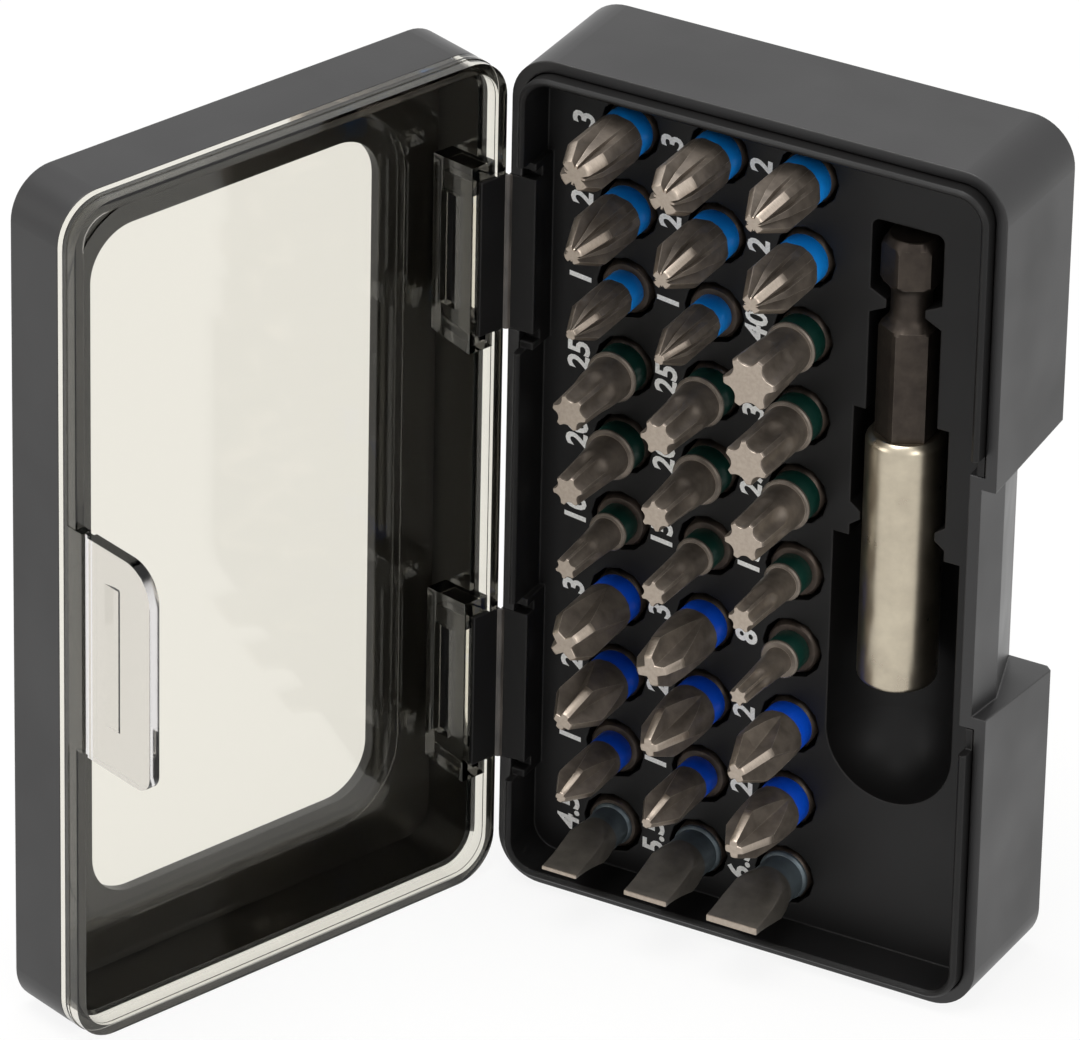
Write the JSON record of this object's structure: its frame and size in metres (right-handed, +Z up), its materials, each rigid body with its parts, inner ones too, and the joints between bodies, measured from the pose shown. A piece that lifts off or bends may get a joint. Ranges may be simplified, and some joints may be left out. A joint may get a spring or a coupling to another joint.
{
  "type": "driver bit case",
  "caption": "Hinged plastic case with a window lid, a tray of quarter inch driver bits and a magnetic bit holder.",
  "frame": {"origin": "centre of the base shell's lower end face", "axes": "+Z up along the hinge line, the bit deck faces -Y, the lid hangs on the -X edge"},
  "size_m": [0.0949, 0.0805, 0.107],
  "materials": {
    "case": "fine satin grain, injection moulded",
    "tray": "semi gloss, injection moulded",
    "clear": "clear polished plastic moulding",
    "bit_steel": "tool steel, bead blasted and oiled",
    "sleeve": "stainless steel, satin turned",
    "magnet": "nickel plated",
    "spring_steel": "spring wire"
  },
  "bodies": {
    "base": {"base_shell": "case", "bit_tray": "tray"},
    "lid": {"lid_cover": "case", "clear_insert": "clear", "hinge_clip_lower": "tray", "hinge_clip_upper": "tray"},
    "latch": {"latch_tab": "clear"},
    "bit_holder": {"holder_sleeve": "sleeve", "holder_shank": "bit_steel", "holder_magnet": "magnet", "holder_retaining_ring": "spring_steel"},
    "bit_1_01_pz3": {"bit_1_01_pz3": "bit_steel"},
    "bit_1_02_pz2": {"bit_1_02_pz2": "bit_steel"},
    "bit_1_03_pz1": {"bit_1_03_pz1": "bit_steel"},
    "bit_1_04_t25": {"bit_1_04_t25": "bit_steel"},
    "bit_1_05_t20": {"bit_1_05_t20": "bit_steel"},
    "bit_1_06_t10": {"bit_1_06_t10": "bit_steel"},
    "bit_1_07_ph3": {"bit_1_07_ph3": "bit_steel"},
    "bit_1_08_ph2": {"bit_1_08_ph2": "bit_steel"},
    "bit_1_09_ph1": {"bit_1_09_ph1": "bit_steel"},
    "bit_1_10_sl45": {"bit_1_10_sl45": "bit_steel"},
    "bit_2_01_pz3": {"bit_2_01_pz3": "bit_steel"},
    "bit_2_02_pz2": {"bit_2_02_pz2": "bit_steel"},
    "bit_2_03_pz1": {"bit_2_03_pz1": "bit_steel"},
    "bit_2_04_t25": {"bit_2_04_t25": "bit_steel"},
    "bit_2_05_t20": {"bit_2_05_t20": "bit_steel"},
    "bit_2_06_t15": {"bit_2_06_t15": "bit_steel"},
    "bit_2_07_ph3": {"bit_2_07_ph3": "bit_steel"},
    "bit_2_08_ph2": {"bit_2_08_ph2": "bit_steel"},
    "bit_2_09_ph1": {"bit_2_09_ph1": "bit_steel"},
    "bit_2_10_sl55": {"bit_2_10_sl55": "bit_steel"},
    "bit_3_01_pz2": {"bit_3_01_pz2": "bit_steel"},
    "bit_3_02_pz2": {"bit_3_02_pz2": "bit_steel"},
    "bit_3_03_t40": {"bit_3_03_t40": "bit_steel"},
    "bit_3_04_t30": {"bit_3_04_t30": "bit_steel"},
    "bit_3_05_t27": {"bit_3_05_t27": "bit_steel"},
    "bit_3_06_t15": {"bit_3_06_t15": "bit_steel"},
    "bit_3_07_t8": {"bit_3_07_t8": "bit_steel"},
    "bit_3_08_ph2": {"bit_3_08_ph2": "bit_steel"},
    "bit_3_09_ph2": {"bit_3_09_ph2": "bit_steel"},
    "bit_3_10_sl65": {"bit_3_10_sl65": "bit_steel"}
  },
  "joints": [
    {"name": "lid_hinge", "type": "hinge", "parent": "base", "child": "lid", "pos_m": [-0.03132, -0.00873, 0.0535], "axis": [0, 0, 1], "range_deg": [-69.75, 110.25]},
    {"name": "latch_flex", "type": "hinge", "parent": "lid", "child": "latch", "pos_m": [-0.05152, -0.06701, 0.0535], "axis": [0, 0, -1], "range_deg": [0, 12], "stiffness_Nm_per_rad": 0.2},
    {"name": "holder_lift", "type": "slide", "parent": "base", "child": "bit_holder", "axis": [0, -1, 0], "range_m": [0, 0.03]},
    {"name": "pull_1_01_pz3", "type": "slide", "parent": "base", "child": "bit_1_01_pz3", "axis": [0, -1, 0], "range_m": [0, 0.03]},
    {"name": "pull_1_02_pz2", "type": "slide", "parent": "base", "child": "bit_1_02_pz2", "axis": [0, -1, 0], "range_m": [0, 0.03]},
    {"name": "pull_1_03_pz1", "type": "slide", "parent": "base", "child": "bit_1_03_pz1", "axis": [0, -1, 0], "range_m": [0, 0.03]},
    {"name": "pull_1_04_t25", "type": "slide", "parent": "base", "child": "bit_1_04_t25", "axis": [0, -1, 0], "range_m": [0, 0.03]},
    {"name": "pull_1_05_t20", "type": "slide", "parent": "base", "child": "bit_1_05_t20", "axis": [0, -1, 0], "range_m": [0, 0.03]},
    {"name": "pull_1_06_t10", "type": "slide", "parent": "base", "child": "bit_1_06_t10", "axis": [0, -1, 0], "range_m": [0, 0.03]},
    {"name": "pull_1_07_ph3", "type": "slide", "parent": "base", "child": "bit_1_07_ph3", "axis": [0, -1, 0], "range_m": [0, 0.03]},
    {"name": "pull_1_08_ph2", "type": "slide", "parent": "base", "child": "bit_1_08_ph2", "axis": [0, -1, 0], "range_m": [0, 0.03]},
    {"name": "pull_1_09_ph1", "type": "slide", "parent": "base", "child": "bit_1_09_ph1", "axis": [0, -1, 0], "range_m": [0, 0.03]},
    {"name": "pull_1_10_sl45", "type": "slide", "parent": "base", "child": "bit_1_10_sl45", "axis": [0, -1, 0], "range_m": [0, 0.03]},
    {"name": "pull_2_01_pz3", "type": "slide", "parent": "base", "child": "bit_2_01_pz3", "axis": [0, -1, 0], "range_m": [0, 0.03]},
    {"name": "pull_2_02_pz2", "type": "slide", "parent": "base", "child": "bit_2_02_pz2", "axis": [0, -1, 0], "range_m": [0, 0.03]},
    {"name": "pull_2_03_pz1", "type": "slide", "parent": "base", "child": "bit_2_03_pz1", "axis": [0, -1, 0], "range_m": [0, 0.03]},
    {"name": "pull_2_04_t25", "type": "slide", "parent": "base", "child": "bit_2_04_t25", "axis": [0, -1, 0], "range_m": [0, 0.03]},
    {"name": "pull_2_05_t20", "type": "slide", "parent": "base", "child": "bit_2_05_t20", "axis": [0, -1, 0], "range_m": [0, 0.03]},
    {"name": "pull_2_06_t15", "type": "slide", "parent": "base", "child": "bit_2_06_t15", "axis": [0, -1, 0], "range_m": [0, 0.03]},
    {"name": "pull_2_07_ph3", "type": "slide", "parent": "base", "child": "bit_2_07_ph3", "axis": [0, -1, 0], "range_m": [0, 0.03]},
    {"name": "pull_2_08_ph2", "type": "slide", "parent": "base", "child": "bit_2_08_ph2", "axis": [0, -1, 0], "range_m": [0, 0.03]},
    {"name": "pull_2_09_ph1", "type": "slide", "parent": "base", "child": "bit_2_09_ph1", "axis": [0, -1, 0], "range_m": [0, 0.03]},
    {"name": "pull_2_10_sl55", "type": "slide", "parent": "base", "child": "bit_2_10_sl55", "axis": [0, -1, 0], "range_m": [0, 0.03]},
    {"name": "pull_3_01_pz2", "type": "slide", "parent": "base", "child": "bit_3_01_pz2", "axis": [0, -1, 0], "range_m": [0, 0.03]},
    {"name": "pull_3_02_pz2", "type": "slide", "parent": "base", "child": "bit_3_02_pz2", "axis": [0, -1, 0], "range_m": [0, 0.03]},
    {"name": "pull_3_03_t40", "type": "slide", "parent": "base", "child": "bit_3_03_t40", "axis": [0, -1, 0], "range_m": [0, 0.03]},
    {"name": "pull_3_04_t30", "type": "slide", "parent": "base", "child": "bit_3_04_t30", "axis": [0, -1, 0], "range_m": [0, 0.03]},
    {"name": "pull_3_05_t27", "type": "slide", "parent": "base", "child": "bit_3_05_t27", "axis": [0, -1, 0], "range_m": [0, 0.03]},
    {"name": "pull_3_06_t15", "type": "slide", "parent": "base", "child": "bit_3_06_t15", "axis": [0, -1, 0], "range_m": [0, 0.03]},
    {"name": "pull_3_07_t8", "type": "slide", "parent": "base", "child": "bit_3_07_t8", "axis": [0, -1, 0], "range_m": [0, 0.03]},
    {"name": "pull_3_08_ph2", "type": "slide", "parent": "base", "child": "bit_3_08_ph2", "axis": [0, -1, 0], "range_m": [0, 0.03]},
    {"name": "pull_3_09_ph2", "type": "slide", "parent": "base", "child": "bit_3_09_ph2", "axis": [0, -1, 0], "range_m": [0, 0.03]},
    {"name": "pull_3_10_sl65", "type": "slide", "parent": "base", "child": "bit_3_10_sl65", "axis": [0, -1, 0], "range_m": [0, 0.03]}
  ]
}
